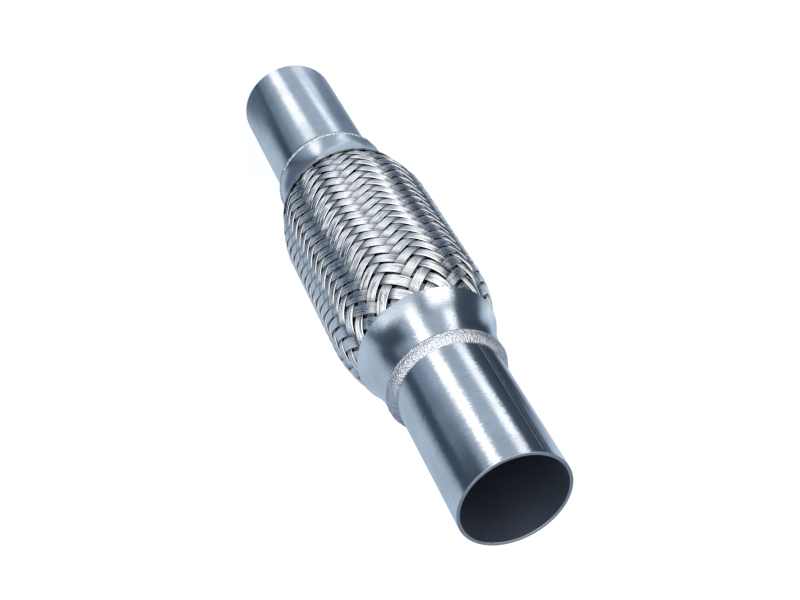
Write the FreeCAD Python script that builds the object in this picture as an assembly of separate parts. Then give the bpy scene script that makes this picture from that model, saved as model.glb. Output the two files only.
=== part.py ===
import FreeCAD, Part
import math
import os
from FreeCAD import Vector

# A braided exhaust flex pipe that stands on the end of its lower tube.
# Millimetres. The axis is Z and the origin is the centre of the lower tube's end.

# Tubes
tube_od = 50.0
tube_wall = 1.5
lower_tail = 74.5  # from the lower end to the toe of its weld
upper_tail = 69.5  # from the upper weld's toe to the upper end
tube_lap = 16.0  # how far each tube reaches in past the toe of its weld
lap_step = 0.3  # how much the tube is drawn in there, all round

# Flexible section, between the toes of the two welds
flex_length = 174.5
slip = 0.05  # clearance between sleeves that are nested and welded together
end_relief = 0.3  # from a bead's flat back to the sleeves that it seals

# Weld beads
bead_width = 5.4
bead_crown = 0.45  # how far the bead's face stands out from a straight fillet

# Liner and bellows
liner_wall = 0.6
bellows_wall = 0.3
root_clearance = 0.5  # how far the bellows' roots stand off the liner
convolutions = 10
convolution_height = 6.5
plain_cuff = 27.5  # from the bead to the first convolution
inner_flats = 24  # flat sides around the liner and the bellows

# End caps, each drawn to a flare like a trumpet's
cap_wall = 0.8
cap_length = 23.5
flare_radius = 54.0
flare_bands = 3  # flat bands along a cap and along the braid tucked into it

# Braid
wire = 0.5
strands = 48
strand_width = 4.2
shoulder_radius = 58.0  # round shoulder between the flare and the barrel
half_rows = 18  # rows of crossings from the middle to a cap's mouth
tight_rows = 0.885  # height of a row at the middle, as a share of the average row
row_growth = 4.5  # how late the rows open out towards the mouths
mouth_lap = 0.8  # how far the last row lies under the cap
weave_relief = 0.6  # depth of the dimple between four crossings
open_rows_upper = 3
open_rows_lower = 2
barrel_rows = 10  # rows from the middle to where the inner face starts to follow the shoulder

# Heights, and distances from the middle of the flexible section
total = lower_tail + flex_length + upper_tail
middle = lower_tail + flex_length / 2
bead_back = flex_length / 2 - bead_width
sleeve_end = bead_back - end_relief
mouth = bead_back - cap_length
last_row = mouth + mouth_lap

# Nested radii at the neck, from the tube outwards
tube_r = tube_od / 2
bore_r = tube_r - tube_wall
lap_r = tube_r - lap_step
liner_in = (lap_r + slip) / math.cos(math.pi / inner_flats)
liner_out = liner_in + liner_wall
cuff_in = liner_out + slip
cuff_out = cuff_in + bellows_wall
braid_wall = 2 * wire
neck_out = cuff_out + slip + braid_wall
cap_in = neck_out + slip
cap_out = cap_in + cap_wall

# Flare and shoulder: all arcs of the flare share one centre
flare_centre = cap_out + flare_radius
braid_flare = flare_centre - neck_out
mouth_slope = math.asin(cap_length / braid_flare)


def flare_r(arc, distance):
    """Radius of a flared face at a distance from the middle."""
    return flare_centre - math.sqrt(arc**2 - (bead_back - distance) ** 2)


def rod(radius, start, end, side=1):
    """Round rod on the axis from one distance to another."""
    low, high = sorted([side * start, side * end])
    return Part.makeCylinder(radius, high - low, Vector(0, 0, middle + low))


def make_tube(side, tail):
    """Plain tube with a slightly smaller lap that hides inside the liner."""
    weld_toe = flex_length / 2
    lap_end = weld_toe - tube_lap
    free_end = weld_toe + tail
    outside = rod(tube_r, weld_toe, free_end, side).fuse(rod(lap_r, lap_end, weld_toe, side))
    return outside.cut(rod(bore_r, lap_end, free_end, side)).Solids[0]


def face_of(*corners):
    return Part.Face(Part.makePolygon([*corners, corners[0]]))


def solid_of(faces):
    """Closed solid from flat faces that meet edge to edge."""
    shell = Part.makeShell(faces)
    shell.sewShape()
    solid = Part.Solid(Part.Shell(shell.Faces))
    return solid if solid.Volume > 0 else solid.reversed()


def ring(sides, radius, distance):
    """Corners of a regular ring."""
    turns = [2 * math.pi * i / sides for i in range(sides)]
    return [Vector(radius * math.cos(a), radius * math.sin(a), middle + distance) for a in turns]


def band(lower, upper, flat=True):
    """Faces between two rings of corners: flat four-sided ones, or two triangles each."""
    faces = []
    for i in range(len(lower)):
        a, b, c, d = lower[i - 1], lower[i], upper[i], upper[i - 1]
        faces += [face_of(a, b, c, d)] if flat else [face_of(a, b, c), face_of(a, c, d)]
    return faces


def flat_sided(outline, sides, side=1):
    """Hollow solid of flat bands around the axis, through an outline of (radius, distance)."""
    rings = [ring(sides, r, side * t) for r, t in outline]
    return solid_of([f for i in range(len(rings)) for f in band(rings[i - 1], rings[i])])


def flare_steps(start, end):
    """Distances along a cap's flare, at which its bands and the tucked braid's bands meet."""
    steps = [mouth + cap_length * i / flare_bands for i in range(1, flare_bands)]
    return [start, *steps, end]


def make_cap(side):
    """Drawn cap of one wall thickness, flared from its neck to its mouth."""
    steps = flare_steps(mouth, bead_back)
    outer = [(flare_r(flare_radius, t), t) for t in steps]
    inner = [(flare_r(flare_radius + cap_wall, t), t) for t in steps]
    return flat_sided(outer + inner[::-1], strands, side)


def make_bead(side):
    """Fillet weld with a crowned face, from its toe on the tube to the neck of the cap."""
    root_r, toe_r = [r / math.cos(math.pi / strands) for r in (lap_r, tube_r)]
    toe = flex_length / 2
    rise = cap_out - toe_r
    face_length = math.hypot(bead_width, rise)
    crown_r = toe_r + rise / 2 + bead_crown * bead_width / face_length
    crown = bead_back + bead_width / 2 + bead_crown * rise / face_length
    face = [(cap_out, bead_back), (crown_r, crown), (toe_r, toe)]
    return flat_sided([(root_r, bead_back), *face, (root_r, toe)], strands, side)


def make_liner():
    """Sleeve that laps both tubes and keeps the gas off the bellows."""
    inner = [(liner_in, sleeve_end), (liner_in, -sleeve_end)]
    outer = [(liner_out, -sleeve_end), (liner_out, sleeve_end)]
    return flat_sided(inner + outer, inner_flats)


def make_bellows():
    """Thin pleated tube with a plain cuff at each end, each pleat a ring of flats."""
    first_root = bead_back - plain_cuff
    pitch = 2 * first_root / convolutions
    flank = math.atan2(convolution_height, pitch / 2)
    skin = bellows_wall / math.cos(flank)
    root_r = cuff_in + root_clearance
    crest_r = root_r + convolution_height
    step = first_root + root_clearance
    inner = [(cuff_in, -sleeve_end), (cuff_in, -step)]
    outer = [(cuff_out, -sleeve_end), (cuff_out, -step)]
    for turn in range(convolutions):
        root = -first_root + turn * pitch
        inner += [(root_r, root), (crest_r, root + pitch / 2)]
        outer += [(root_r + skin, root), (crest_r + skin, root + pitch / 2)]
    inner += [(root_r, first_root), (cuff_in, step), (cuff_in, sleeve_end)]
    outer += [(root_r + skin, first_root), (cuff_out, step), (cuff_out, sleeve_end)]
    return flat_sided(inner + outer[::-1], inner_flats)


def row_distance(row):
    """Distance from the middle to a row of crossings, tight at the middle, open at the mouths."""
    share = abs(row) / half_rows
    distance = last_row * (tight_rows * share + (1 - tight_rows) * share**row_growth)
    return math.copysign(distance, row)


def braid_r(distance):
    """Outside radius of the braid: flare under the cap, round shoulder, straight barrel."""
    t = abs(distance)
    if t >= mouth:
        return flare_r(braid_flare, t)
    into_shoulder = t - (mouth - shoulder_radius * math.sin(mouth_slope))
    barrel = flare_r(braid_flare, mouth) + shoulder_radius * (1 - math.cos(mouth_slope))
    if into_shoulder <= 0:
        return barrel
    return barrel - shoulder_radius + math.sqrt(shoulder_radius**2 - into_shoulder**2)


def lattice(column, row, depth):
    """Point of the weave's lattice at a depth below the braid's outside."""
    angle = 2 * math.pi * column / strands
    r = braid_r(row_distance(row)) - depth
    return Vector(r * math.cos(angle), r * math.sin(angle), middle + row_distance(row))


def inner_depth(row):
    """Depth of the inner face's corners, so that its flats leave room for what is inside."""
    outside = braid_r(row_distance(row))
    return outside - (outside - braid_wall) / math.cos(math.pi / strands)


def is_gap(column, row):
    """Every other lattice point is the middle of a gap, and the others are crossings."""
    return (column + row) % 2 == 0


def is_open(row):
    """Whether the gaps of a row are cut through the wall."""
    open_rows = open_rows_upper if row > 0 else open_rows_lower
    return half_rows - open_rows <= abs(row) < half_rows


def gap_share(row):
    """Width of a gap as a share of the distance between neighbouring strands."""
    column_step = 2 * math.pi * braid_r(row_distance(row)) / strands
    row_step = (row_distance(row + 1) - row_distance(row - 1)) / 2
    spacing = 2 * column_step * row_step / math.hypot(column_step, row_step)
    return 1 - strand_width / spacing


def passes_under(column, rising):
    """Two over and two under: whether strands that rise, or fall, pass under from this column."""
    return column % 4 == (3 if rising else 1)


def woven_cell(column, row, gap_depth, crossing_depth, twill):
    """One cell of the woven wall, folded along the strand on top, with open gaps cut off."""
    corners = [(column, row), (column + 1, row), (column + 1, row + 1), (column, row + 1)]
    points = [lattice(c, n, (gap_depth if is_gap(c, n) else crossing_depth)(n)) for c, n in corners]
    gaps = [0, 2] if is_gap(column, row) else [1, 3]
    cut = [g for g in gaps if is_open(corners[g][1])]
    if twill and not cut and passes_under(column, gaps[0] == 1):
        return [face_of(points[g - 1], points[g], points[g - 2]) for g in gaps]
    faces = []
    for g in gaps:
        before, middle_point, after = points[g - 1], points[g], points[(g + 1) % 4]
        if g in cut:
            share = gap_share(corners[g][1])
            near_before = middle_point + (before - middle_point) * share
            near_after = middle_point + (after - middle_point) * share
            faces.append(face_of(before, near_before, near_after, after))
        else:
            faces.append(face_of(before, middle_point, after))
    return faces


def gap_walls(column, row):
    """The four sides of one open gap, from the outer face to the inner one."""
    share = gap_share(row)
    around = [(column, row - 1), (column + 1, row), (column, row + 1), (column - 1, row)]
    outer_middle = lattice(column, row, weave_relief)
    inner_middle = lattice(column, row, inner_depth(row))
    outer = [outer_middle + (lattice(c, n, 0) - outer_middle) * share for c, n in around]
    inner = [inner_middle + (lattice(c, n, inner_depth(n)) - inner_middle) * share for c, n in around]
    return band(outer, inner, flat=False)


def lattice_ring(row, gap_depth, crossing_depth):
    """Corners of the weave's lattice around one row."""
    depths = [(gap_depth if is_gap(i, row) else crossing_depth)(row) for i in range(strands)]
    return [lattice(i, row, depth) for i, depth in enumerate(depths)]


def tucked_end(side):
    """Plain end of the braid, pressed between the cap and the bellows' cuff."""
    outer = lattice_ring(side * half_rows, dimple, level)
    inner = lattice_ring(side * half_rows, inner_depth, inner_depth)
    faces = []
    steps = flare_steps(last_row, sleeve_end)
    for step, t in enumerate(steps[1:]):
        inner_r = flare_r(braid_flare + braid_wall, t) / math.cos(math.pi / strands)
        next_outer = ring(strands, flare_r(braid_flare, t), side * t)
        next_inner = ring(strands, inner_r, side * t)
        faces += band(outer, next_outer, step > 0) + band(inner, next_inner)
        outer, inner = next_outer, next_inner
    return faces + band(outer, inner)


def level(row):
    return 0.0


def dimple(row):
    return weave_relief


def make_braid():
    """Woven sleeve as one wall: a ridge along each strand on top, and open gaps beside the caps."""
    faces = []
    for column in range(strands):
        for row in range(-half_rows, half_rows):
            faces += woven_cell(column, row, dimple, level, True)
            if is_open(row) or is_open(row + 1):
                faces += woven_cell(column, row, inner_depth, inner_depth, False)
            if is_open(row) and is_gap(column, row):
                faces += gap_walls(column, row)
    low = open_rows_lower + 1 - half_rows
    high = half_rows - open_rows_upper - 1
    plain_rows = [low, -barrel_rows, barrel_rows, high]
    rings = [lattice_ring(row, inner_depth, inner_depth) for row in plain_rows]
    for lower, upper in zip(rings, rings[1:]):
        faces += band(lower, upper)
    return solid_of(faces + tucked_end(1) + tucked_end(-1))


parts = {
    "lower_tube": make_tube(-1, lower_tail),
    "upper_tube": make_tube(1, upper_tail),
    "lower_cap": make_cap(-1),
    "upper_cap": make_cap(1),
    "lower_weld": make_bead(-1),
    "upper_weld": make_bead(1),
    "inner_liner": make_liner(),
    "bellows": make_bellows(),
    "outer_braid": make_braid(),
}

os.makedirs("parts", exist_ok=True)
for name, shape in parts.items():
    shape.exportStep("parts/" + name + ".step")
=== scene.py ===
import math

import bmesh
import bpy
from bpy.props import FloatProperty, FloatVectorProperty, IntProperty, PointerProperty
from mathutils import Matrix, Vector, noise


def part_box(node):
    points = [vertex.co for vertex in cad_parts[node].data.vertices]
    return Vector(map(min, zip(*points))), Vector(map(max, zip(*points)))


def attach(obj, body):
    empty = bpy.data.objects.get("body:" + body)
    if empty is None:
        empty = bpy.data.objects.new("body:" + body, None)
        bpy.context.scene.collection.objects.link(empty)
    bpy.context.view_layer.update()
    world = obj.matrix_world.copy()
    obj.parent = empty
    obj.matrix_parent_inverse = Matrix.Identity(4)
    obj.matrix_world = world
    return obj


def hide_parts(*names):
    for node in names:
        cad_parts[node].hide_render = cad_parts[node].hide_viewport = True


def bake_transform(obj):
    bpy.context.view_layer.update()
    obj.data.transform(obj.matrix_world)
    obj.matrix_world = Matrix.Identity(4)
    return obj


bl_info = {
    "name": "Braided Exhaust Flex Pipe",
    "version": (1, 0, 0),
    "blender": (4, 5, 0),
    "location": "View3D > Sidebar > Flex Pipe",
    "description": "Dresses a flex pipe's frame with its tubes, caps, welds and woven wire",
    "category": "Add Mesh",
}

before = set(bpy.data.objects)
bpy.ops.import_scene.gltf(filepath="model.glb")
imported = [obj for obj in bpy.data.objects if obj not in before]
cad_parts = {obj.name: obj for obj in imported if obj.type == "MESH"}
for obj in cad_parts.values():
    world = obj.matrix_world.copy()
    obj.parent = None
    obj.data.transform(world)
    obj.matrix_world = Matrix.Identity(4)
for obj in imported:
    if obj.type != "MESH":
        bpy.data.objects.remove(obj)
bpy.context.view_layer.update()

# Units, the axis, the two ends and white
MM = 0.001
TAU = 2 * math.pi
UP = Vector((0, 0, 1))
SIDES = {-1: "lower", 1: "upper"}
WHITE = (1.0, 1.0, 1.0, 1.0)

# Heights read from the frame. Distances along the pipe are counted from the middle of the braid.
BRAID_LOW, BRAID_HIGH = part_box("outer_braid")
CAP_LOW, CAP_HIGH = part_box("upper_cap")
WELD_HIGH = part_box("upper_weld")[1]
MIDDLE = (BRAID_LOW.z + BRAID_HIGH.z) / 2
SLEEVE_END = BRAID_HIGH.z - MIDDLE
MOUTH = CAP_LOW.z - MIDDLE
BEAD_BACK = CAP_HIGH.z - MIDDLE
TOE = WELD_HIGH.z - MIDDLE
FREE_END = {-1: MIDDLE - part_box("lower_tube")[0].z, 1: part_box("upper_tube")[1].z - MIDDLE}
LAP_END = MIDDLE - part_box("lower_tube")[1].z

# Radii read from the frame
TUBE_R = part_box("upper_tube")[1].x
NECK_R = WELD_HIGH.x
MOUTH_R = CAP_HIGH.x
BARREL_R = BRAID_HIGH.x
BELLOWS_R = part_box("bellows")[1].x
LINER_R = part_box("inner_liner")[1].x

# A cap's flare is one arc
FLARE_RISE = MOUTH_R - NECK_R
FLARE_LENGTH = BEAD_BACK - MOUTH
FLARE_ARC = (FLARE_RISE**2 + FLARE_LENGTH**2) / (2 * FLARE_RISE)
FLARE_CENTRE = NECK_R + FLARE_ARC

# Steps along the turned outlines
RIM_STEPS = 4
SEAM_STEPS = 8
FLARE_STEPS = 28
BEAD_STEPS = 24
PLEAT_STEPS = 12

# How far a seam's edges and its foot are sunk into the tube
SEAM_SINK = 0.02 * MM
SEAM_FOOT = 0.1 * MM

# A cap's lip: where its rounding starts, how far it is rounded, and how far the dull cut edge reaches
LIP_START = 0.25 * MM
LIP_ROUND = 0.12 * MM
CUT_EDGE = 0.2 * MM

# A bead's section: its buried root, how its bulge leans as (out, along), and where along it the undercut
# and the lip lie, as (centre, width)
BEAD_ROOT = 0.25 * MM
BULGE_OUT, BULGE_ALONG = 0.87, 0.4
UNDERCUT_AT = (0.0, 0.05)
LIP_AT = (0.14, 0.09)

# A bead's ripples: how strongly they curve, and their drift. Noise scales are per millimetre.
RIPPLE_CURVE = 2.2
RIPPLE_DRIFT = 0.4
DRIFT_SCALE = 0.18
FINE_SCALE = 1.3
COARSE_SCALE = 0.35

# Strands of the sleeve, their end, and where it is twisted, slants, slides and fans out
STRANDS_EACH_WAY = 24
COLUMNS = 2 * STRANDS_EACH_WAY
STRANDS_END = SLEEVE_END - 0.3 * MM
TWIST_SPAN = (-12 * MM, 33 * MM)
SLANT_FROM = (-20 * MM, 20 * MM)
SLANT_TO = (MOUTH, SLEEVE_END - 1 * MM)
SLIDE_FROM = (-MOUTH, -25 * MM)
SLIDE_TO = (5 * MM, 35 * MM)
FAN_SPAN = (MOUTH - 25 * MM, MOUTH - 8 * MM)

# How a strand lies: how gently it steps over and under, the length over which it is flattened under a cap,
# its clearance, and the strays of its wires
STEP_EASE = 0.9
HIDDEN_LENGTH = 4 * MM
STRAND_CLEARANCE = 0.03 * MM
WIRE_JITTER = 0.05 * MM
WIRE_PROUD = 0.22 * MM
PROUD_ABOVE = 0.42

# Clearances inside the sleeve: the bellows' crests from its outside, its roots and cuffs from the liner,
# the length over which a cuff narrows, and the liner's own
CREST_GAP = 0.2 * MM
ROOT_GAP = 0.55 * MM
CUFF_GAP = 0.05 * MM
CUFF_STEP = 0.6 * MM
LINER_GAP = 0.25 * MM

# Studio panels in degrees, each over the ones before it
PANEL_VALUES = ("Centre", "Half Width", "Edge", "Low", "High", "Rise", "Level")
PANELS = (
    (0, 180, 0, 4, 90, 14, 0.04),
    (6, 63, 30, -90, -11, 6, 0.48),
    (-44, 24, 22, -35, -9, 6, 0.06),
    (-58, 29, 26, -90, -33, 8, 0.24),
    (-65, 12, 12, -90, -2, 10, 0.07),
    (90, 26, 16, -52, 60, 8, 0.07),
    (114, 27, 18, -50, -37, 5, 0.05),
    (121, 33, 30, -62, -47, 4, 0.24),
    (-112, 46, 20, -90, -60, 6, 0.15),
    (3, 12, 8, -51, -36, 6, 1.60),
    (5, 14, 12, -90, -55, 6, 1.35),
    (3, 8, 8, -37, -3, 6, 1.75),
    (57, 9, 9, -49, -22, 10, 1.30),
    (70, 7, 12, -66, -48, 8, 1.15),
    (88, 8, 14, -90, -60, 6, 0.95),
    (50, 18, 12, -15, 6, 8, 1.75),
    (-19, 22, 10, -10, 1, 4, 1.00),
    (23, 6, 8, -20, 5, 6, 0.28),
    (-3, 45, 14, 10, 62, 12, 2.15),
    (75, 15, 14, 6, 60, 12, 2.10),
    (107, 20, 14, -7, 40, 12, 0.0),
    (-99, 32, 16, -22, 18, 12, 0.66),
    (-80, 13, 10, 4, 40, 10, 0.04),
    (141, 12, 14, -35, 8, 12, 0.85),
    (180, 38, 20, 20, 60, 14, 0.34),
    (180, 8, 8, -28, 20, 12, 1.20),
    (164, 6, 8, -28, 20, 10, 0.14),
    (-154, 14, 10, -28, 20, 10, 0.14),
)

# Tint of the studio's darkest parts, and its changes as (lowest level, highest level, tint after it)
DARK_TINT = (0.68, 1.0, 1.5, 1.0)
TINTS = ((0.05, 0.45, (0.81, 1.0, 1.24, 1.0)), (0.6, 1.45, WHITE))


# Settings
def length_setting(name, description, size):
    """Length with a default in millimetres."""
    return FloatProperty(name=name, description=description, default=size * MM, unit="LENGTH")


def angle_setting(name, description, turn):
    """Angle with a default in degrees."""
    return FloatProperty(name=name, description=description, default=math.radians(turn), subtype="ANGLE")


def colour_setting(name, description, shade):
    return FloatVectorProperty(name=name, description=description, default=shade, subtype="COLOR")


class FlexPipeTubes(bpy.types.PropertyGroup):
    wall: length_setting("Wall", "Wall of the plain tubes", 1.5)
    rim_edge: length_setting("Rim edge", "Rounding of a tube's cut end", 0.18)
    lap_step: length_setting("Lap step", "How much the hidden lap is drawn in", 0.3)
    seam_width: length_setting("Seam width", "Width of the seam along a tube", 2.4)
    seam_height: length_setting("Seam height", "How far the seam stands out", 0.14)
    seam_angle: angle_setting("Seam angle", "Place of the upper tube's seam", -142)
    turns: IntProperty(name="Steps round", description="Steps round each turned piece", default=192)
    colour: colour_setting("Steel", "Colour of the tubes", (0.82, 0.83, 0.84))
    bore_colour: colour_setting("Bore", "Colour of the duller bore", (0.39, 0.44, 0.52))
    edge_colour: colour_setting("Cut edge", "Colour of a tube's cut end", (0.48, 0.49, 0.52))


class FlexPipeCaps(bpy.types.PropertyGroup):
    wall: length_setting("Wall", "Sheet that a cap is drawn from", 0.8)
    slip: length_setting("Slip", "Clearance between a cap and the braid", 0.05)
    turns: IntProperty(name="Steps round", description="Steps round each cap", default=192)
    colour: colour_setting("Steel", "Colour of the caps", (0.81, 0.82, 0.83))
    edge_colour: colour_setting("Cut edge", "Colour of a cap's cut edge", (0.30, 0.31, 0.33))


class FlexPipeWelds(bpy.types.PropertyGroup):
    crown: length_setting("Crown", "How far the bead's face bulges", 0.62)
    undercut: length_setting("Undercut", "Depth of the line between cap and bead", 0.55)
    lip: length_setting("Lip", "How proud the bead stands of the cap's neck", 0.3)
    ripple: length_setting("Ripple", "Depth of the ripples", 0.06)
    ripple_pitch: length_setting("Ripple pitch", "Distance between ripples", 1.5)
    grain: length_setting("Grain", "Depth of the fine scale", 0.17)
    wander: length_setting("Wander", "How far the bead's toe strays", 0.35)
    turns: IntProperty(name="Steps round", description="Steps round each bead", default=480)
    colour: colour_setting("Weld", "Colour of the beads", (0.74, 0.75, 0.77))


class FlexPipeBraid(bpy.types.PropertyGroup):
    strand_width: length_setting("Strand width", "Width of one flat strand", 4.2)
    fan: FloatProperty(name="Fan", description="How much wider a strand lies near a cap", default=0.1)
    crown: length_setting("Crown", "How far a strand's edges fall off", 0.16)
    wires: IntProperty(name="Wires", description="Wires side by side in a strand", default=8)
    wire: length_setting("Wire", "Diameter of a wire", 0.5)
    weave: length_setting("Weave", "How far a strand rises over and dips under", 0.58)
    half_rows: IntProperty(name="Rows", description="Crossings from the middle to a mouth", default=18)
    tight: FloatProperty(
        name="Tight rows", description="Height of a middle row as a share of the average", default=0.885
    )
    growth: FloatProperty(name="Row growth", description="How late the rows open out", default=4.5)
    mouth_lap: length_setting("Mouth lap", "How far the last row lies under the cap", 0.8)
    steps: IntProperty(name="Steps", description="Steps along a strand for each crossing", default=4)
    stray: length_setting("Stray", "How far a strand wanders sideways", 0.2)
    twist: angle_setting("Twist", "How far the sleeve is turned on its axis", 4.3)
    askew: length_setting("Askew", "How far the rows slant at the upper cap", 2.6)
    uneven: angle_setting("Uneven", "How far the strands crowd at the back", 2.3)
    slip: length_setting("Slip", "How far the middle rows sit towards the lower end", 0.8)
    colour: colour_setting("Wire steel", "Colour of the woven wire", (0.90, 0.89, 0.88))


class FlexPipeInside(bpy.types.PropertyGroup):
    convolutions: IntProperty(name="Convolutions", description="Pleats of the bellows", default=10)
    plain_cuff: length_setting("Plain cuff", "From a bead to the first pleat", 27.5)
    bellows_wall: length_setting("Bellows wall", "Sheet of the bellows", 0.3)
    liner_pitch: length_setting("Liner pitch", "From one hook of the liner to the next", 4.5)
    liner_wall: length_setting("Liner wall", "Depth of the liner's hooked strip", 0.6)
    turns: IntProperty(name="Steps round", description="Steps round each hidden piece", default=96)
    # Painted shade: the bellows are near black to stand for the shade seen through the braid's gaps
    bellows_shade_colour: colour_setting("Bellows", "Colour of the bellows", (0.08, 0.08, 0.09))
    liner_colour: colour_setting("Liner", "Colour of the liner", (0.16, 0.17, 0.20))


class FlexPipeStage(bpy.types.PropertyGroup):
    camera_place: FloatVectorProperty(
        name="Camera",
        description="Where the camera stands",
        default=(0.0, -0.443266, 0.666539),
        subtype="TRANSLATION",
    )
    camera_turn: FloatVectorProperty(
        name="Camera turn",
        description="How the camera is turned",
        default=(math.radians(-38.5954), math.radians(-19.6339), math.radians(157.1181)),
        subtype="EULER",
    )
    lens: FloatProperty(name="Lens", description="Focal length in millimetres", default=63.696)
    walls: FloatProperty(name="Walls", description="Brightness of the studio's walls", default=0.56)
    floor_size: FloatProperty(name="Floor", description="Width of the floor", default=8.0, unit="LENGTH")
    shadow: FloatProperty(name="Shadow", description="How much of the floor's shadow shows", default=0.16)


class FlexPipeSettings(bpy.types.PropertyGroup):
    tubes: PointerProperty(type=FlexPipeTubes, name="Tubes", description="Plain tubes")
    caps: PointerProperty(type=FlexPipeCaps, name="Caps", description="Flared caps")
    welds: PointerProperty(type=FlexPipeWelds, name="Welds", description="Weld beads")
    braid: PointerProperty(type=FlexPipeBraid, name="Braid", description="Woven wire sleeve")
    inside: PointerProperty(type=FlexPipeInside, name="Inside", description="Bellows and liner")
    stage: PointerProperty(type=FlexPipeStage, name="Stage", description="Camera, light and floor")


# Shader helpers
def set_inputs(tree, node, inputs):
    """Link or set inputs of a node, by name or number."""
    for name, value in inputs.items():
        if isinstance(value, bpy.types.NodeSocket):
            tree.links.new(value, node.inputs[name])
        else:
            node.inputs[name].default_value = value


def add_node(tree, kind, inputs, **values):
    """A node of that kind with its own values set, and its inputs linked or set."""
    node = tree.nodes.new(kind)
    for name, value in values.items():
        setattr(node, name, value)
    set_inputs(tree, node, inputs)
    return node


def add_math(tree, operation, *values):
    return add_node(tree, "ShaderNodeMath", dict(enumerate(values)), operation=operation).outputs[0]


def add_vector_math(tree, operation, *values, **named):
    inputs = {**dict(enumerate(values)), **named}
    return add_node(tree, "ShaderNodeVectorMath", inputs, operation=operation).outputs[0]


def add_noise(tree, place, scale, detail):
    inputs = {"Vector": place, "Scale": scale, "Detail": detail}
    return add_node(tree, "ShaderNodeTexNoise", inputs).outputs["Fac"]


def add_bump(tree, inputs):
    return add_node(tree, "ShaderNodeBump", inputs).outputs["Normal"]


def add_range(tree, value, start, end, first=0.0, last=1.0, kind="LINEAR"):
    """First where the value is at the start, last where it is at the end."""
    inputs = {"Value": value, "From Min": start, "From Max": end, "To Min": first, "To Max": last}
    return add_node(tree, "ShaderNodeMapRange", inputs, interpolation_type=kind).outputs["Result"]


def mix_colours(tree, share, first, second, blend="MIX"):
    inputs = {0: share, 6: first, 7: second}
    return add_node(tree, "ShaderNodeMix", inputs, data_type="RGBA", blend_type=blend).outputs[2]


def add_ramp(tree, fac, stops):
    """Grey ramp through (position, grey) stops."""
    node = add_node(tree, "ShaderNodeValToRGB", {"Fac": fac})
    ramp = node.color_ramp
    while len(ramp.elements) < len(stops):
        ramp.elements.new(1.0)
    for element, (position, grey) in zip(ramp.elements, stops):
        element.position = position
        element.color = (grey, grey, grey, 1.0)
    return node.outputs["Color"]


def opaque(colour, share=1.0):
    """Colour with its alpha, darkened to a share of itself."""
    return (*[c * share for c in colour], 1.0)


# Node groups
def new_group(name, inputs, outputs):
    """Node group with inputs of (name: default, None for a vector) and outputs of (name: kind)."""
    kinds = {float: "NodeSocketFloat", tuple: "NodeSocketColor"}
    group = bpy.data.node_groups.new(name, "ShaderNodeTree")
    for label, value in inputs.items():
        kind = kinds.get(type(value), "NodeSocketVector")
        socket = group.interface.new_socket(name=label, in_out="INPUT", socket_type=kind)
        if value is not None:
            socket.default_value = value
    for label, kind in outputs.items():
        group.interface.new_socket(name=label, in_out="OUTPUT", socket_type=kind)
    return group, group.nodes.new("NodeGroupInput").outputs, group.nodes.new("NodeGroupOutput")


def stretched_place(group, given):
    """Place scaled by one number around the pipe and another along it."""
    place = add_node(group, "ShaderNodeSeparateXYZ", {0: given["Vector"]}).outputs
    scales = (given["Around"], given["Around"], given["Along"])
    scaled = {i: add_math(group, "MULTIPLY", place[i], scale) for i, scale in enumerate(scales)}
    return add_node(group, "ShaderNodeCombineXYZ", scaled).outputs[0]


def scratch_group(name):
    """Fine marks drawn out around the pipe: a height for the bump, and a mask of scuffs."""
    group, given, result = new_group(
        name,
        {"Vector": None, "Along": 2600.0, "Around": 90.0, "Scuffs": 0.62},
        {"Height": "NodeSocketFloat", "Scuff": "NodeSocketFloat"},
    )
    place = stretched_place(group, given)
    flecks = add_noise(group, add_vector_math(group, "MULTIPLY", place, (3.5, 3.5, 0.45)), 1.0, 2.0)
    top = add_math(group, "ADD", given["Scuffs"], 0.12)
    scuff = add_range(group, flecks, given["Scuffs"], top)
    set_inputs(group, result, {"Height": add_noise(group, place, 1.0, 4.0), "Scuff": scuff})
    return group


def sway_group(name):
    """Object-space normal swayed sideways by streaks that run around the pipe."""
    group, given, result = new_group(
        name,
        {"Vector": None, "Normal": None, "Along": 4200.0, "Around": 700.0, "Sway": 0.16},
        {"Color": "NodeSocketColor"},
    )
    streaks = add_noise(group, stretched_place(group, given), 1.0, 3.0)
    amount = add_math(group, "MULTIPLY", add_math(group, "SUBTRACT", streaks, 0.5), given["Sway"])
    sideways = add_vector_math(group, "CROSS_PRODUCT", given["Vector"], (0.0, 0.0, 1.0))
    unit = add_vector_math(group, "NORMALIZE", sideways)
    push = add_vector_math(group, "SCALE", unit, Scale=amount)
    swayed = add_vector_math(group, "ADD", given["Normal"], push)
    level = add_vector_math(group, "NORMALIZE", swayed)
    coded = add_vector_math(group, "MULTIPLY_ADD", level, (0.5, 0.5, 0.5), (0.5, 0.5, 0.5))
    set_inputs(group, result, {"Color": coded})
    return group


def tone_group(name):
    """Slow change of shade and polish over the steel."""
    group, given, result = new_group(
        name,
        {
            "Vector": None,
            "Steel": (0.8, 0.8, 0.8, 1.0),
            "Shade": (0.5, 0.5, 0.5, 1.0),
            "Scale": 60.0,
            "Scuff": 0.0,
            "Polished": 0.15,
            "Dull": 0.30,
        },
        {"Color": "NodeSocketColor", "Roughness": "NodeSocketFloat"},
    )
    cloud = add_noise(group, given["Vector"], given["Scale"], 3.0)
    clouded = add_math(group, "MULTIPLY", add_range(group, cloud, 0.35, 0.65), 0.35)
    scuffed = add_math(group, "MULTIPLY", given["Scuff"], 0.8)
    worn = add_math(group, "MAXIMUM", clouded, scuffed)
    tone = mix_colours(group, worn, given["Steel"], given["Shade"])
    rough = add_range(group, worn, 0.0, 1.0, given["Polished"], given["Dull"])
    set_inputs(group, result, {"Color": tone, "Roughness": rough})
    return group


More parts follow.
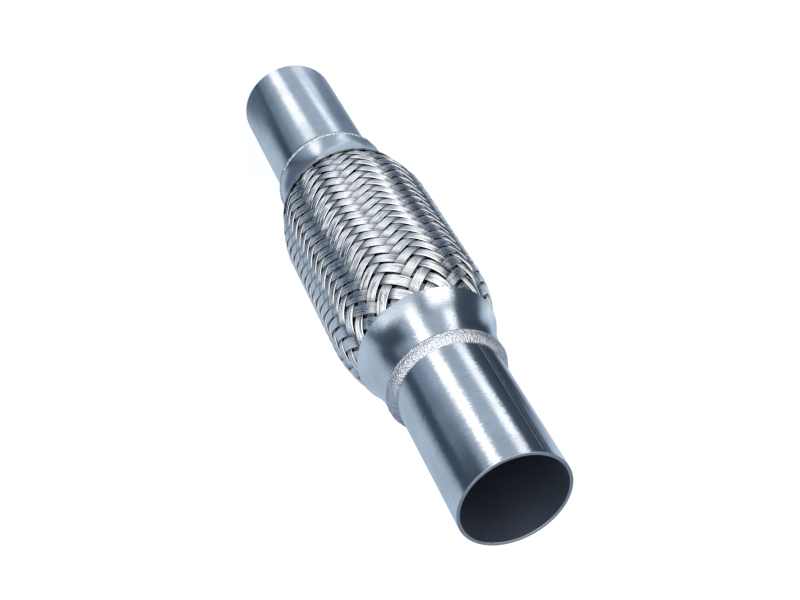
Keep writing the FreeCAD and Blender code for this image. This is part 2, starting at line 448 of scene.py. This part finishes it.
def fade(tree, value, middle, width, first, last):
    """Smooth change from first to last across a width."""
    half = add_math(tree, "MULTIPLY", width, 0.5)
    start = add_math(tree, "SUBTRACT", middle, half)
    end = add_math(tree, "ADD", middle, half)
    return add_range(tree, value, start, end, first, last, "SMOOTHSTEP")


def panel_group(name):
    """One soft-edged panel of the studio, placed by angles in degrees, over what lies behind it."""
    labels = ("Behind", "Azimuth", "Elevation", *PANEL_VALUES)
    group, given, result = new_group(name, dict.fromkeys(labels, 0.0), {"Level": "NodeSocketFloat"})
    away = add_math(group, "SUBTRACT", given["Azimuth"], given["Centre"])
    gap = add_math(group, "ABSOLUTE", add_math(group, "WRAP", away, -180.0, 180.0))
    beside = fade(group, gap, given["Half Width"], given["Edge"], 1.0, 0.0)
    above = fade(group, given["Elevation"], given["Low"], given["Rise"], 0.0, 1.0)
    below = fade(group, given["Elevation"], given["High"], given["Rise"], 1.0, 0.0)
    share = add_math(group, "MULTIPLY", beside, add_math(group, "MULTIPLY", above, below))
    difference = add_math(group, "SUBTRACT", given["Level"], given["Behind"])
    level = add_math(group, "ADD", given["Behind"], add_math(group, "MULTIPLY", share, difference))
    set_inputs(group, result, {"Level": level})
    return group


GROUPS = {
    "Turned Scratches": scratch_group,
    "Brushed Sway": sway_group,
    "Steel Tone": tone_group,
    "Studio Panel": panel_group,
}


def add_group(tree, name, inputs):
    """Outputs of a shared group's node. The group is built at its first use."""
    group = bpy.data.node_groups.get(name) or GROUPS[name](name)
    return add_node(tree, "ShaderNodeGroup", inputs, node_tree=group).outputs


# Materials
def new_steel(name):
    """Bare metal material: its tree, its shader and its texture coordinates."""
    material = bpy.data.materials.new(name)
    material.use_nodes = True
    tree = material.node_tree
    shader = tree.nodes["Principled BSDF"]
    shader.inputs["Metallic"].default_value = 1.0
    return material, tree, shader, add_node(tree, "ShaderNodeTexCoord", {}).outputs


def turned_steel(
    name, colour, along=2600.0, around=90.0, polished=0.14, dull=0.24, bump=0.06, sway=0.20
):
    """Steel polished around its axis, with fine marks and small scuffs."""
    material, tree, shader, given = new_steel(name)
    place = given["Object"]
    marks = add_group(tree, "Turned Scratches", {"Vector": place, "Along": along, "Around": around})
    tone = add_group(
        tree,
        "Steel Tone",
        {
            "Vector": place,
            "Steel": opaque(colour),
            "Shade": opaque(colour, 0.62),
            "Scale": 70.0,
            "Scuff": marks["Scuff"],
            "Polished": polished,
            "Dull": dull,
        },
    )
    swayed = add_group(tree, "Brushed Sway", {"Vector": place, "Normal": given["Normal"], "Sway": sway})
    brushed = add_node(tree, "ShaderNodeNormalMap", {"Color": swayed["Color"]}, space="OBJECT").outputs[0]
    relief = add_bump(
        tree, {"Height": marks["Height"], "Strength": bump, "Distance": 0.1 * MM, "Normal": brushed}
    )
    looks = {"Base Color": tone["Color"], "Roughness": tone["Roughness"], "Normal": relief}
    set_inputs(tree, shader, looks)
    return material


def weld_steel(name, colour):
    """Dull, scaly steel of a weld bead."""
    material, tree, shader, given = new_steel(name)
    place = given["Object"]
    cells = {"Vector": place, "Scale": 1500.0, "Randomness": 1.0}
    scale = add_node(tree, "ShaderNodeTexVoronoi", cells).outputs["Distance"]
    tone = add_group(
        tree,
        "Steel Tone",
        {
            "Vector": place,
            "Steel": opaque(colour),
            "Shade": opaque(colour, 0.22),
            "Scale": 2200.0,
            "Scuff": add_math(tree, "MULTIPLY", scale, 0.45),
            "Polished": 0.20,
            "Dull": 0.36,
        },
    )
    height = add_math(tree, "ADD", add_noise(tree, place, 1900.0, 4.0), scale)
    relief = add_bump(tree, {"Height": height, "Strength": 1.0, "Distance": 0.28 * MM})
    looks = {"Base Color": tone["Color"], "Roughness": tone["Roughness"], "Normal": relief}
    set_inputs(tree, shader, looks)
    return material


def wire_steel(name, colour, wires):
    """Drawn wire: each wire of a strand has its own tone, painted shade darkens the grooves that part the
    wires, and painted shade darkens the dips.
    """
    material, tree, shader, given = new_steel(name)
    across = add_node(tree, "ShaderNodeUVMap", {}, uv_map="Strand").outputs["UV"]
    parts = add_node(tree, "ShaderNodeSeparateXYZ", {0: across}).outputs
    wire_place = add_math(tree, "MULTIPLY", parts["X"], float(wires))
    own = {0: add_math(tree, "FLOOR", wire_place), 1: add_math(tree, "MULTIPLY", parts["Y"], 0.35), 2: 0.0}
    shade = add_noise(tree, add_node(tree, "ShaderNodeCombineXYZ", own).outputs[0], 2.3, 2.0)
    wire_tone = add_ramp(tree, shade, [(0.30, 0.84), (0.50, 0.94), (0.70, 1.0)])
    off_middle = add_math(tree, "SUBTRACT", add_math(tree, "FRACT", wire_place), 0.5)
    # Painted shade: the colour falls to 0.45 of itself in the grooves between wires
    groove = add_ramp(tree, add_math(tree, "ABSOLUTE", off_middle), [(0.0, 1.0), (0.38, 0.95), (0.5, 0.45)])
    wire_tone_and_groove_shade = mix_colours(tree, 1.0, wire_tone, groove, "MULTIPLY")
    steel = mix_colours(tree, 1.0, opaque(colour), wire_tone_and_groove_shade, "MULTIPLY")
    lift = add_node(tree, "ShaderNodeAttribute", {}, attribute_name="Lift").outputs["Fac"]
    # Painted shade: the lower a strand dips under others, the darker its colour, down to 0.15 of itself
    painted_dip_shade = add_range(tree, lift, -0.3, 0.65, 0.15, 1.0)
    grain = add_noise(tree, given["Object"], 1200.0, 2.0)
    looks = {
        "Base Color": add_vector_math(tree, "SCALE", steel, Scale=painted_dip_shade),
        "Roughness": add_range(tree, shade, 0.0, 1.0, 0.14, 0.07),
        "Normal": add_bump(tree, {"Height": grain, "Strength": 0.05, "Distance": 0.1 * MM}),
    }
    set_inputs(tree, shader, looks)
    return material


# Mesh helpers
def clamp(value):
    return max(0.0, min(1.0, value))


def soft_step(value, start, end):
    share = clamp((value - start) / (end - start))
    return share * share * (3 - 2 * share)


def bell(value, centre, width):
    return math.exp(-(((value - centre) / width) ** 2))


def spin_profile(outline, turns):
    """Bmesh of a closed outline of (radius, distance from the middle) turned about the axis."""
    bm = bmesh.new()
    verts = [bm.verts.new((r, 0.0, MIDDLE + t)) for r, t in outline]
    edges = [bm.edges.new(pair) for pair in zip(verts, verts[1:] + verts[:1])]
    bmesh.ops.spin(
        bm, geom=verts + edges, cent=(0, 0, 0), axis=UP, angle=TAU, steps=turns, use_merge=True
    )
    bmesh.ops.remove_doubles(bm, verts=bm.verts, dist=1e-7)
    bmesh.ops.recalc_face_normals(bm, faces=bm.faces)
    return bm


def finish_piece(bm, name, materials, sharp=None):
    """Object at the origin from a bmesh, smooth but for the edges that bend by more than sharp degrees."""
    for face in bm.faces:
        face.smooth = True
    if sharp is not None:
        for edge in bm.edges:
            edge.smooth = len(edge.link_faces) == 2 and edge.calc_face_angle() < math.radians(sharp)
    mesh = bpy.data.meshes.new(name)
    bm.to_mesh(mesh)
    bm.free()
    for material in materials:
        mesh.materials.append(material)
    piece = bpy.data.objects.new(name, mesh)
    bpy.context.scene.collection.objects.link(piece)
    return piece


def arc_points(centre, radius, start, end, count):
    """Points of an arc around a (radius, distance) centre."""
    turns = [start + (end - start) * i / count for i in range(count + 1)]
    return [(centre[0] + radius * math.cos(a), centre[1] + radius * math.sin(a)) for a in turns]


def mirrored(outline, side):
    return [(r, side * t) for r, t in outline]


def flare_r(arc, t):
    """Radius of a flared face at a distance from the middle."""
    return FLARE_CENTRE - math.sqrt(arc**2 - (BEAD_BACK - t) ** 2)


# Tubes
def tube_outline(settings, side):
    """Outline of a plain tube with a rounded rim and its hidden lap."""
    bore = TUBE_R - settings.wall
    edge = settings.rim_edge
    lap = TUBE_R - settings.lap_step
    end = FREE_END[side]
    rim_out = arc_points((TUBE_R - edge, end - edge), edge, 0, math.pi / 2, RIM_STEPS)
    rim_in = arc_points((bore + edge, end - edge), edge, math.pi / 2, math.pi, RIM_STEPS)
    return mirrored([(bore, LAP_END), (lap, LAP_END), (lap, TOE), (TUBE_R, TOE), *rim_out, *rim_in], side)


def seam_strip(settings, side):
    """Low rounded seam along the outside of a tube, its foot sunk into the wall."""
    start, end = sorted([side * TOE, side * (FREE_END[side] - settings.rim_edge)])
    half = settings.seam_width / 2
    bm = bmesh.new()
    section = []
    for i in range(SEAM_STEPS + 1):
        share = -1 + 2 * i / SEAM_STEPS
        lift = settings.seam_height * (1 - share**4) - SEAM_SINK
        section.append(bm.verts.new((TUBE_R + lift, half * share, MIDDLE + start)))
    section.append(bm.verts.new((TUBE_R - SEAM_FOOT, 0.0, MIDDLE + start)))
    face = bm.faces.new(section)
    grown = bmesh.ops.extrude_face_region(bm, geom=[face])["geom"]
    moved = [v for v in grown if isinstance(v, bmesh.types.BMVert)]
    bmesh.ops.translate(bm, verts=moved, vec=UP * (end - start))
    bmesh.ops.recalc_face_normals(bm, faces=bm.faces)
    turn = settings.seam_angle if side > 0 else settings.seam_angle + math.pi
    bmesh.ops.rotate(bm, verts=bm.verts, cent=(0, 0, 0), matrix=Matrix.Rotation(turn, 3, "Z"))
    return bm


class FLEXPIPE_OT_tubes(bpy.types.Operator):
    """Turn the two plain tubes and lay the seam along each"""

    bl_idname = "flexpipe.tubes"
    bl_label = "Tubes"

    def execute(self, context):
        settings = context.scene.flex_pipe.tubes
        steel = turned_steel("Tube Steel", settings.colour, bump=0.11)
        bore_steel = turned_steel(
            "Bore Steel", settings.bore_colour, polished=0.34, dull=0.44, bump=0.10, sway=0.1
        )
        seam_steel = turned_steel("Seam Steel", settings.colour, polished=0.20, dull=0.34)
        cut_steel = turned_steel("Sawn Edge", settings.edge_colour, polished=0.28, dull=0.44)
        bore_limit = TUBE_R - settings.wall + 0.01 * MM
        for side, end in SIDES.items():
            bm = spin_profile(tube_outline(settings, side), settings.turns)
            tube = finish_piece(bm, f"{end}_plain_tube", (steel, bore_steel, cut_steel), 40)
            for face in tube.data.polygons:
                on_rim = abs(face.center.z - MIDDLE) > FREE_END[side] - settings.rim_edge
                in_bore = math.hypot(*face.center.xy) < bore_limit
                face.material_index = 2 if on_rim else int(in_bore)
            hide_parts(f"{end}_tube")
            seam = finish_piece(seam_strip(settings, side), f"{end}_tube_seam", (seam_steel,), 40)
            for piece in (tube, seam):
                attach(piece, f"{end}_end")
        return {"FINISHED"}


# Caps
def cap_outline(settings, side):
    """Outline of a drawn cap: flared sheet of one thickness with a rounded lip."""
    rows = [BEAD_BACK - FLARE_LENGTH * i / FLARE_STEPS for i in range(FLARE_STEPS)] + [MOUTH + LIP_START]
    outer = [(flare_r(FLARE_ARC, t), t) for t in rows]
    inner = [(flare_r(FLARE_ARC + settings.wall, t), t) for t in rows]
    lip_out, lip_in = flare_r(FLARE_ARC, MOUTH), flare_r(FLARE_ARC + settings.wall, MOUTH)
    rounded = MOUTH + LIP_ROUND / 3
    lip = [(lip_out - LIP_ROUND, rounded), ((lip_out + lip_in) / 2, MOUTH), (lip_in + LIP_ROUND, rounded)]
    return mirrored([*outer, *lip, *inner[::-1]], side)


class FLEXPIPE_OT_caps(bpy.types.Operator):
    """Turn the two flared caps"""

    bl_idname = "flexpipe.caps"
    bl_label = "Caps"

    def execute(self, context):
        settings = context.scene.flex_pipe.caps
        steel = turned_steel(
            "Cap Steel", settings.colour, along=1600.0, around=260.0, polished=0.16, dull=0.28, bump=0.20
        )
        edge_steel = turned_steel("Cut Edge", settings.edge_colour, polished=0.34, dull=0.5)
        for side, end in SIDES.items():
            bm = spin_profile(cap_outline(settings, side), settings.turns)
            cap = finish_piece(bm, f"{end}_flared_cap", (steel, edge_steel), 20)
            for face in cap.data.polygons:
                face.material_index = int(abs(face.center.z - MIDDLE) < MOUTH + CUT_EDGE)
            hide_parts(f"{end}_cap")
            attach(cap, f"{end}_end")
        return {"FINISHED"}


# Welds
def weld_outline(settings, side):
    """Outline of a crowned bead, from the neck of the cap to its toe on the tube."""
    root = TUBE_R - BEAD_ROOT
    face = []
    for i in range(BEAD_STEPS + 1):
        share = (i / BEAD_STEPS) ** 1.25
        bulge = settings.crown * math.sin(math.pi * share)
        groove = settings.undercut * bell(share, *UNDERCUT_AT)
        lip = settings.lip * bell(share, *LIP_AT)
        r = NECK_R + (TUBE_R - NECK_R) * share**1.5 + bulge * BULGE_OUT - groove + lip
        face.append((r, BEAD_BACK + (TOE - BEAD_BACK) * share + bulge * BULGE_ALONG))
    return mirrored([(root, BEAD_BACK), *face, (root, TOE)], side)


def ripple_bead(bm, settings, side):
    """Give a turned bead its ripples, its fine scale and a toe that strays."""
    for vert in bm.verts:
        r = math.hypot(vert.co.x, vert.co.y)
        if r < TUBE_R - BEAD_ROOT / 2:
            continue
        share = clamp((abs(vert.co.z - MIDDLE) - BEAD_BACK) / (TOE - BEAD_BACK))
        angle = math.atan2(vert.co.y, vert.co.x)
        place = vert.co * 1000
        curve = (share - 0.5) ** 2 * RIPPLE_CURVE
        drift = noise.noise(place * DRIFT_SCALE) * RIPPLE_DRIFT
        ripples = round(TAU * r / settings.ripple_pitch)
        phase = TAU * (ripples * angle / TAU + curve + drift)
        strength = math.sin(math.pi * min(1.0, 0.12 + share * 0.88)) ** 0.5
        lift = settings.ripple * math.sin(phase) * strength
        lift += settings.grain * noise.noise(place * FINE_SCALE) * (0.35 + 0.65 * strength)
        lift += settings.grain * 1.4 * noise.noise(place * COARSE_SCALE + Vector((7, 0, 0))) * strength
        stray = settings.wander * noise.noise(Vector((angle * r * 300, side * 9.0, 2.0))) * share
        out = Vector((vert.co.x, vert.co.y, 0)).normalized()
        at_edge = share < 0.05 or share > 0.98
        vert.co += out * (lift * (1 - 0.7 * at_edge))
        vert.co.z += side * min(0.0, stray)
    bmesh.ops.recalc_face_normals(bm, faces=bm.faces)


class FLEXPIPE_OT_welds(bpy.types.Operator):
    """Lay the two rippled weld beads"""

    bl_idname = "flexpipe.welds"
    bl_label = "Welds"

    def execute(self, context):
        settings = context.scene.flex_pipe.welds
        steel = weld_steel("Weld Steel", settings.colour)
        for side, end in SIDES.items():
            bm = spin_profile(weld_outline(settings, side), settings.turns)
            ripple_bead(bm, settings, side)
            bead = finish_piece(bm, f"{end}_weld_bead", (steel,))
            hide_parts(f"{end}_weld")
            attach(bead, f"{end}_end")
        return {"FINISHED"}


# Braid
class Weave:
    """Where the strands of the sleeve run. Its shoulder is an arc that meets the tucked flare smoothly."""

    def __init__(self, settings, caps):
        self.settings = settings
        self.tucked_arc = FLARE_ARC + caps.wall + caps.slip
        self.last_row = MOUTH + settings.mouth_lap
        self.last_step = settings.tight + (1 - settings.tight) * settings.growth
        slope = math.asin(FLARE_LENGTH / self.tucked_arc)
        self.shoulder = (BARREL_R - flare_r(self.tucked_arc, MOUTH)) / (1 - math.cos(slope))
        self.shoulder_start = MOUTH - self.shoulder * math.sin(slope)

    def distance(self, row):
        """Distance from the middle to a row of crossings."""
        own = self.settings
        share = abs(row) / own.half_rows
        if share > 1:
            away = self.last_row * (1 + (share - 1) * self.last_step)
        else:
            away = self.last_row * (own.tight * share + (1 - own.tight) * share**own.growth)
        return math.copysign(away, row)

    def row_height(self, row):
        return self.distance(row + 0.5) - self.distance(row - 0.5)

    def outside(self, t):
        """Outside radius of the sleeve at a distance from the middle."""
        t = min(abs(t), BEAD_BACK)
        if t >= MOUTH:
            return flare_r(self.tucked_arc, t)
        into = max(0.0, t - self.shoulder_start)
        return BARREL_R - self.shoulder + math.sqrt(self.shoulder**2 - into**2)

    def settle(self, angle, t):
        """Where a point of an even sleeve comes to lie in one that is twisted and sits a little askew."""
        own = self.settings
        turned = angle + own.twist * (1 - soft_step(t, *TWIST_SPAN)) + own.uneven * math.cos(angle)
        slant = soft_step(t, *SLANT_FROM) * (1 - soft_step(t, *SLANT_TO))
        slid = soft_step(t, *SLIDE_FROM) * (1 - soft_step(t, *SLIDE_TO))
        return turned, t + own.askew * math.cos(turned) * slant - own.slip * slid

    def last(self):
        """Row at which the strands end, hidden under the cap."""
        return self.settings.half_rows * (1 + (STRANDS_END / self.last_row - 1) / self.last_step)


def strand_section(settings):
    """Section of a flat strand as (across, out, wire): a row of round wires with a flat underside."""
    pitch = settings.strand_width / settings.wires
    half = settings.strand_width / 2
    radius = settings.wire / 2
    last = settings.wires - 1
    points = [(-half, -0.1 * radius, 0)]
    for wire in range(settings.wires):
        centre = (wire - last / 2) * pitch
        points.append((centre - 0.52 * radius, 0.80 * radius, wire))
        points.append((centre + 0.52 * radius, 0.80 * radius, wire))
        if wire < last:
            points.append((centre + pitch / 2, 0.34 * radius, wire + 0.5))
    points.append((half, -0.1 * radius, last))
    points.append((half - 0.3 * radius, -0.9 * radius, last))
    points.append((-half + 0.3 * radius, -0.9 * radius, 0))
    return points


def strand_rows(weave, side):
    """Rows at which a strand has a section, from the middle to its hidden end."""
    own = weave.settings
    full = own.half_rows + 1
    rows = [i / own.steps for i in range(full * own.steps + 1)]
    tail = math.ceil((weave.last() - full) * 2)
    rows += [full + (weave.last() - full) * (i + 1) / tail for i in range(tail)]
    return [side * row for row in rows]


def wire_noise(row, wire, key):
    """Stray and change of width of a strand at a row, and how one wire in it jitters and stands proud."""
    return (
        noise.noise(Vector((row * 0.21, key * 3.7, 0.5))),
        noise.noise(Vector((row * 0.3, key * 1.9, 4.5))),
        noise.noise(Vector((row * 0.45, wire * 2.3, key * 5.1))),
        noise.noise(Vector((row * 0.3, wire * 3.1, key * 2.9 + 50))),
    )


def strand_point(weave, rising, strand, row, across, out, wire):
    """Place of one point of a strand's section, and how far the strand is up (1) or down (-1) there."""
    own = weave.settings
    lean = 1 if rising else -1
    stray, width, jitter, proud = wire_noise(row, wire, strand + (0 if rising else 100))
    t = weave.distance(row)
    spread = 1 + 0.05 * width + own.fan * soft_step(abs(t), *FAN_SPAN)
    across = across * spread + own.stray * stray + WIRE_JITTER * jitter
    column_step = TAU * weave.outside(t) / COLUMNS
    height = weave.row_height(row)
    length = math.hypot(column_step, height)
    column = strand + lean * row - lean * across * height / (length * column_step)
    local_row = row + across * column_step / (length * height)
    crossed = column + lean * local_row
    wave = math.sin(math.pi / 2 * ((strand + crossed) / 2 - 0.5)) * lean
    swing = wave / math.sqrt(wave**2 + STEP_EASE) * math.sqrt(1 + STEP_EASE)
    angle, local_t = weave.settle(TAU * column / COLUMNS, weave.distance(local_row))
    hidden = clamp((abs(local_t) - MOUTH) / HIDDEN_LENGTH)
    depth = own.weave - (own.weave - own.wire / 2) * hidden
    top = weave.outside(local_t) - STRAND_CLEARANCE - own.weave - own.wire / 2
    lift = WIRE_JITTER * jitter + WIRE_PROUD * max(0.0, proud - PROUD_ABOVE)
    fall = own.crown * (2 * across / own.strand_width) ** 2
    r = top + (own.weave - depth) + depth * swing + out - fall + lift * (1 - hidden)
    return Vector((r * math.cos(angle), r * math.sin(angle), MIDDLE + local_t)), swing


def weave_strands(weave, rising, side):
    """All strands of one direction in one half of the sleeve."""
    section = strand_section(weave.settings)
    rows = strand_rows(weave, side)
    around = len(section)
    along = len(rows) - 1
    bm = bmesh.new()
    uv = bm.loops.layers.uv.new("Strand")
    lift = bm.verts.layers.float.new("Lift")
    uv_of = {}
    for index in range(STRANDS_EACH_WAY):
        grid = bmesh.ops.create_grid(bm, x_segments=along, y_segments=around, size=1.0)["verts"]
        for vert in grid:
            i = round((vert.co.x + 1) / 2 * along)
            j = round((vert.co.y + 1) / 2 * around)
            across, out, wire = section[j % around]
            uv_of[vert] = (across / weave.settings.strand_width + 0.5, rows[i] + 50 * index)
            vert.co, vert[lift] = strand_point(weave, rising, 2 * index + 1, rows[i], across, out, wire)
    for face in bm.faces:
        for loop in face.loops:
            loop[uv].uv = uv_of[loop.vert]
    bmesh.ops.remove_doubles(bm, verts=bm.verts, dist=1e-7)
    ends = [edge for edge in bm.edges if edge.is_boundary]
    bmesh.ops.holes_fill(bm, edges=ends, sides=0)
    bmesh.ops.recalc_face_normals(bm, faces=bm.faces)
    return bm


def bend_with_sleeve(piece, side):
    """Half of a soft sleeve, from its middle to its cap's end, with its place baked into its mesh."""
    if side < 0:
        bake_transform(piece)
    else:
        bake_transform(piece)


class FLEXPIPE_OT_braid(bpy.types.Operator):
    """Weave the wire sleeve, two strands over and two under"""

    bl_idname = "flexpipe.braid"
    bl_label = "Braid"

    def execute(self, context):
        pipe = context.scene.flex_pipe
        weave = Weave(pipe.braid, pipe.caps)
        steel = wire_steel("Woven Wire", pipe.braid.colour, pipe.braid.wires)
        for side, end in SIDES.items():
            for rising, lean in ((True, "rising"), (False, "falling")):
                bm = weave_strands(weave, rising, side)
                piece = finish_piece(bm, f"{end}_{lean}_strands", (steel,), 70)
                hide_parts("outer_braid")
                bend_with_sleeve(piece, side)
        return {"FINISHED"}


# Bellows and liner
def bellows_face(settings, shift):
    """One face of half a bellows, from the middle to its end, offset by part of its wall."""
    first = BEAD_BACK - settings.plain_cuff
    pitch = 2 * first / settings.convolutions
    crest = BELLOWS_R - CREST_GAP - settings.bellows_wall
    root = LINER_R + ROOT_GAP
    cuff = LINER_R + CUFF_GAP
    points = []
    for i in range(round(first / pitch * PLEAT_STEPS) + 1):
        t = i * pitch / PLEAT_STEPS
        share = 0.5 - 0.5 * math.cos(TAU * (t / pitch + 0.5 * (settings.convolutions % 2)))
        points.append((root + (crest - root) * soft_step(share, 0, 1) + shift, t))
    return points + [(cuff + shift, first + CUFF_STEP), (cuff + shift, SLEEVE_END)]


def half_bellows(settings, side):
    inner = bellows_face(settings, 0.0)
    outer = bellows_face(settings, settings.bellows_wall)
    return spin_profile(mirrored(inner + outer[::-1], side), settings.turns)


def half_liner(settings, side):
    """Half of the strip-wound liner: hooked turns that lap each other."""
    outer_r = LINER_R - LINER_GAP
    wall = settings.liner_wall
    # Corners of one turn as (share of the pitch, depth below the outside)
    outer_turn = ((0, 0), (0.62, 0), (0.68, 0.27 * wall), (0.95, 0.27 * wall))
    inner_turn = ((0, 0.55 * wall), (0.30, 0.55 * wall), (0.36, wall), (0.95, wall))
    count = round(SLEEVE_END / settings.liner_pitch)
    pitch = SLEEVE_END / count
    outer = [(outer_r - depth, (i + share) * pitch) for i in range(count) for share, depth in outer_turn]
    inner = [(outer_r - depth, (i + share) * pitch) for i in range(count) for share, depth in inner_turn]
    outer.append((outer_r, SLEEVE_END))
    inner.append((outer_r - wall, SLEEVE_END))
    return spin_profile(mirrored(inner + outer[::-1], side), settings.turns)


class FLEXPIPE_OT_inside(bpy.types.Operator):
    """Turn the bellows and the liner inside the sleeve"""

    bl_idname = "flexpipe.inside"
    bl_label = "Bellows and Liner"

    def execute(self, context):
        settings = context.scene.flex_pipe.inside
        # The bellows' near-black colour is painted shade for the braid's gaps
        bellows_shade_steel = turned_steel("Bellows Painted Shade", settings.bellows_shade_colour, polished=0.3, dull=0.45)
        liner_steel = turned_steel("Liner Steel", settings.liner_colour, polished=0.35, dull=0.5)
        for side, end in SIDES.items():
            bm = half_bellows(settings, side)
            bellows = finish_piece(bm, f"{end}_bellows_half", (bellows_shade_steel,), 60)
            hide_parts("bellows")
            bend_with_sleeve(bellows, side)
            liner = finish_piece(half_liner(settings, side), f"{end}_liner_half", (liner_steel,), 30)
            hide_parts("inner_liner")
            bend_with_sleeve(liner, side)
        return {"FINISHED"}


# Stage
def studio_world(scene, settings):
    """Room of pale walls with bright panels and dark flags, which bare metal mirrors."""
    world = bpy.data.worlds.new("Studio")
    scene.world = world
    world.use_nodes = True
    tree = world.node_tree
    direction = add_node(tree, "ShaderNodeTexCoord", {}).outputs["Generated"]
    parts = add_node(tree, "ShaderNodeSeparateXYZ", {0: direction}).outputs
    east = add_math(tree, "MULTIPLY", parts["X"], -1.0)
    south = add_math(tree, "MULTIPLY", parts["Y"], -1.0)
    angles = {
        "Azimuth": add_math(tree, "DEGREES", add_math(tree, "ARCTAN2", east, south)),
        "Elevation": add_math(tree, "DEGREES", add_math(tree, "ARCSINE", parts["Z"])),
    }
    level = settings.walls
    for panel in PANELS:
        values = dict(zip(PANEL_VALUES, panel))
        level = add_group(tree, "Studio Panel", {"Behind": level, **angles, **values})["Level"]
    tint = DARK_TINT
    for low, high, shade in TINTS:
        tint = mix_colours(tree, add_range(tree, level, low, high), tint, shade)
    seen = add_node(tree, "ShaderNodeLightPath", {}).outputs["Is Camera Ray"]
    strength = add_node(tree, "ShaderNodeMix", {0: seen, 2: level, 3: 1.0}, data_type="FLOAT").outputs[0]
    background = tree.nodes["Background"]
    set_inputs(tree, background, {"Color": mix_colours(tree, seen, tint, WHITE), "Strength": strength})


def floor_material(shadow):
    """Pale floor that is white to the camera and keeps part of its shadow."""
    material = bpy.data.materials.new("Floor")
    material.use_nodes = True
    tree = material.node_tree
    tree.nodes.remove(tree.nodes["Principled BSDF"])
    matt = add_node(tree, "ShaderNodeBsdfDiffuse", {"Color": (0.92, 0.92, 0.92, 1.0)}).outputs[0]
    white = add_node(tree, "ShaderNodeEmission", {"Color": WHITE, "Strength": 1.05}).outputs[0]
    camera = add_node(tree, "ShaderNodeLightPath", {}).outputs["Is Camera Ray"]
    share = add_math(tree, "MULTIPLY", camera, 1 - shadow)
    mixed = add_node(tree, "ShaderNodeMixShader", {0: share, 1: matt, 2: white}).outputs[0]
    set_inputs(tree, tree.nodes["Material Output"], {"Surface": mixed})
    return material


def soft_lamp(name, place, target, size, power):
    lamp = bpy.data.lights.new(name, "AREA")
    lamp.shape = "DISK"
    lamp.size = size
    lamp.energy = power
    lit = bpy.data.objects.new(name, lamp)
    lit.location = place
    aim = Vector(target) - Vector(place)
    lit.rotation_euler = aim.to_track_quat("-Z", "Y").to_euler()
    bpy.context.scene.collection.objects.link(lit)


class FLEXPIPE_OT_stage(bpy.types.Operator):
    """Set the camera, the lamp, the world and the pale floor"""

    bl_idname = "flexpipe.stage"
    bl_label = "Stage"

    def execute(self, context):
        scene = context.scene
        settings = scene.flex_pipe.stage
        lens = bpy.data.cameras.new("Camera")
        lens.lens = settings.lens
        lens.clip_start = 0.01
        camera = bpy.data.objects.new("Camera", lens)
        camera.location = settings.camera_place
        camera.rotation_euler = settings.camera_turn
        scene.collection.objects.link(camera)
        scene.camera = camera
        scene.view_settings.view_transform = "Standard"
        studio_world(scene, settings)
        soft_lamp("Overhead", place=(-0.3, -0.2, 1.8), target=(0, 0, 0.15), size=2.4, power=9.0)
        bm = bmesh.new()
        bmesh.ops.create_grid(bm, x_segments=1, y_segments=1, size=settings.floor_size / 2)
        floor = finish_piece(bm, "floor", (floor_material(settings.shadow),))
        floor.visible_glossy = False
        return {"FINISHED"}


class FLEXPIPE_PT_panel(bpy.types.Panel):
    bl_label = "Flex Pipe"
    bl_space_type = "VIEW_3D"
    bl_region_type = "UI"
    bl_category = "Flex Pipe"

    def draw(self, context):
        for operator in OPERATORS:
            self.layout.operator(operator.bl_idname)


SETTINGS = (
    FlexPipeTubes,
    FlexPipeCaps,
    FlexPipeWelds,
    FlexPipeBraid,
    FlexPipeInside,
    FlexPipeStage,
    FlexPipeSettings,
)
OPERATORS = (
    FLEXPIPE_OT_tubes,
    FLEXPIPE_OT_caps,
    FLEXPIPE_OT_welds,
    FLEXPIPE_OT_braid,
    FLEXPIPE_OT_inside,
    FLEXPIPE_OT_stage,
)
CLASSES = (*SETTINGS, *OPERATORS, FLEXPIPE_PT_panel)


def register():
    for entry in CLASSES:
        bpy.utils.register_class(entry)
    bpy.types.Scene.flex_pipe = PointerProperty(type=FlexPipeSettings)


def unregister():
    del bpy.types.Scene.flex_pipe
    for entry in reversed(CLASSES):
        bpy.utils.unregister_class(entry)


def main():
    register()
    bpy.ops.flexpipe.tubes()
    bpy.ops.flexpipe.caps()
    bpy.ops.flexpipe.welds()
    bpy.ops.flexpipe.braid()
    bpy.ops.flexpipe.inside()
    bpy.ops.flexpipe.stage()


if __name__ == "__main__":
    main()
